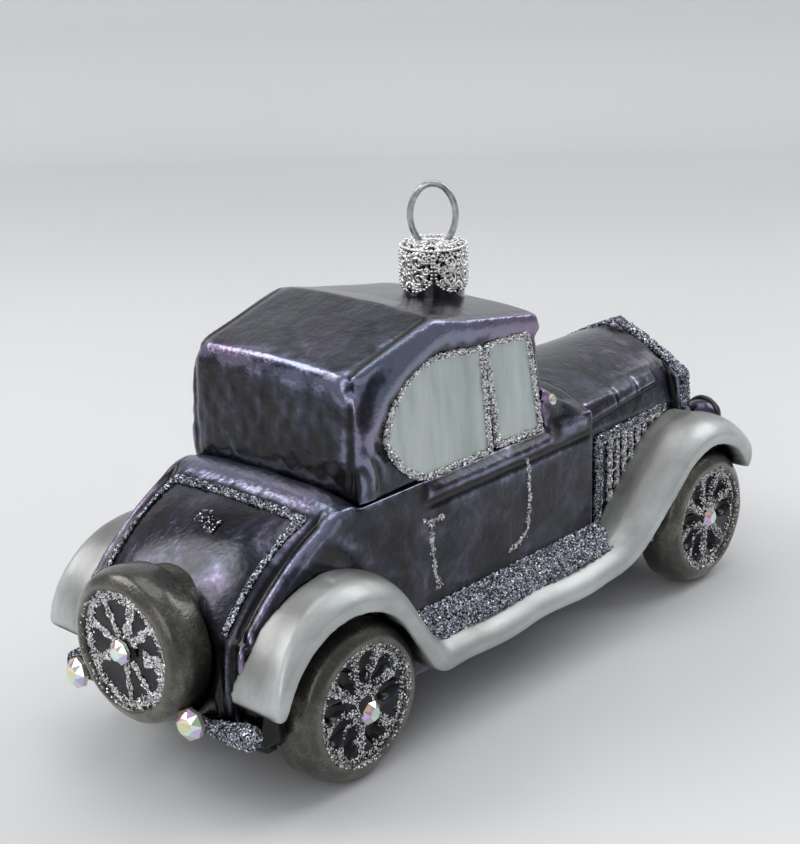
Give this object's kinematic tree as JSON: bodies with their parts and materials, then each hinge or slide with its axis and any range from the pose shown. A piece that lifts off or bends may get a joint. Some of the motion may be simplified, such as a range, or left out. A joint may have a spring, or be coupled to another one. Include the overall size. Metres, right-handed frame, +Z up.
{
  "type": "glass car hanging ornament",
  "caption": "Blown glass hanging ornament shaped as an old coupe on moulded wheels, with glitter lines, small crystals and a sprung crown cap with a wire loop.",
  "frame": {"origin": "under the middle of the ornament's bounding box, on the surface it stands on", "axes": "+X to the car's front, +Y to its left, +Z up through the hanging loop"},
  "size_m": [0.1331, 0.0508, 0.0796],
  "materials": {
    "dark_lacquer": "gloss lacquer over silvered glass",
    "silver_lacquer": "satin silver paint",
    "window_paint": "satin silver-green paint",
    "pewter_lacquer": "metallic pewter paint",
    "neck_glass": "silvered glass",
    "bright_glitter": "coarse silver glitter",
    "dark_glitter": "coarse grey glitter",
    "crystal": "faceted, iridescent",
    "cap_metal": "embossed bright plating",
    "loop_wire": "bright spring wire"
  },
  "bodies": {
    "ornament": {"belt_roll_left": "dark_lacquer", "belt_roll_right": "dark_lacquer", "body_shell": "dark_lacquer", "cab": "dark_lacquer", "cowl_stone_left": "crystal", "cowl_stone_right": "crystal", "door_pane_left": "window_paint", "door_pane_right": "window_paint", "door_pane_trim_left": "bright_glitter", "door_pane_trim_right": "bright_glitter", "door_trim_left": "dark_glitter", "door_trim_right": "dark_glitter", "fender_left": "silver_lacquer", "fender_right": "silver_lacquer", "front_bumper": "dark_glitter", "headlamp_left": "dark_lacquer", "headlamp_right": "dark_lacquer", "hood": "dark_lacquer", "hub_stone_front_left": "crystal", "hub_stone_front_right": "crystal", "hub_stone_rear_left": "crystal", "hub_stone_rear_right": "crystal", "lid_handle": "dark_glitter", "lid_trim": "dark_glitter", "louvre_trim_left": "dark_glitter", "louvre_trim_right": "dark_glitter", "neck": "neck_glass", "quarter_pane_left": "window_paint", "quarter_pane_right": "window_paint", "quarter_pane_trim_left": "bright_glitter", "quarter_pane_trim_right": "bright_glitter", "radiator_core": "silver_lacquer", "radiator_shell": "dark_lacquer", "radiator_trim": "dark_glitter", "rear_bumper": "dark_glitter", "running_board_left": "dark_glitter", "running_board_right": "dark_glitter", "spare_spokes": "bright_glitter", "spare_stone": "crystal", "spare_tyre": "pewter_lacquer", "spare_wheel": "dark_lacquer", "spokes_front_left": "bright_glitter", "spokes_front_right": "bright_glitter", "spokes_rear_left": "bright_glitter", "spokes_rear_right": "bright_glitter", "tail_stone_left": "crystal", "tail_stone_right": "crystal", "tyre_front_left": "pewter_lacquer", "tyre_front_right": "pewter_lacquer", "tyre_rear_left": "pewter_lacquer", "tyre_rear_right": "pewter_lacquer", "wheel_front_left": "dark_lacquer", "wheel_front_right": "dark_lacquer", "wheel_rear_left": "dark_lacquer", "wheel_rear_right": "dark_lacquer", "windscreen": "window_paint", "windscreen_trim": "bright_glitter"},
    "hanger": {"cap_shell": "cap_metal", "hanging_loop": "loop_wire"}
  },
  "joints": [
    {"name": "cap_turn", "type": "hinge", "parent": "ornament", "child": "hanger", "pos_m": [0.004, 0, 0.0662], "axis": [0, 0, 1], "continuous": true}
  ]
}
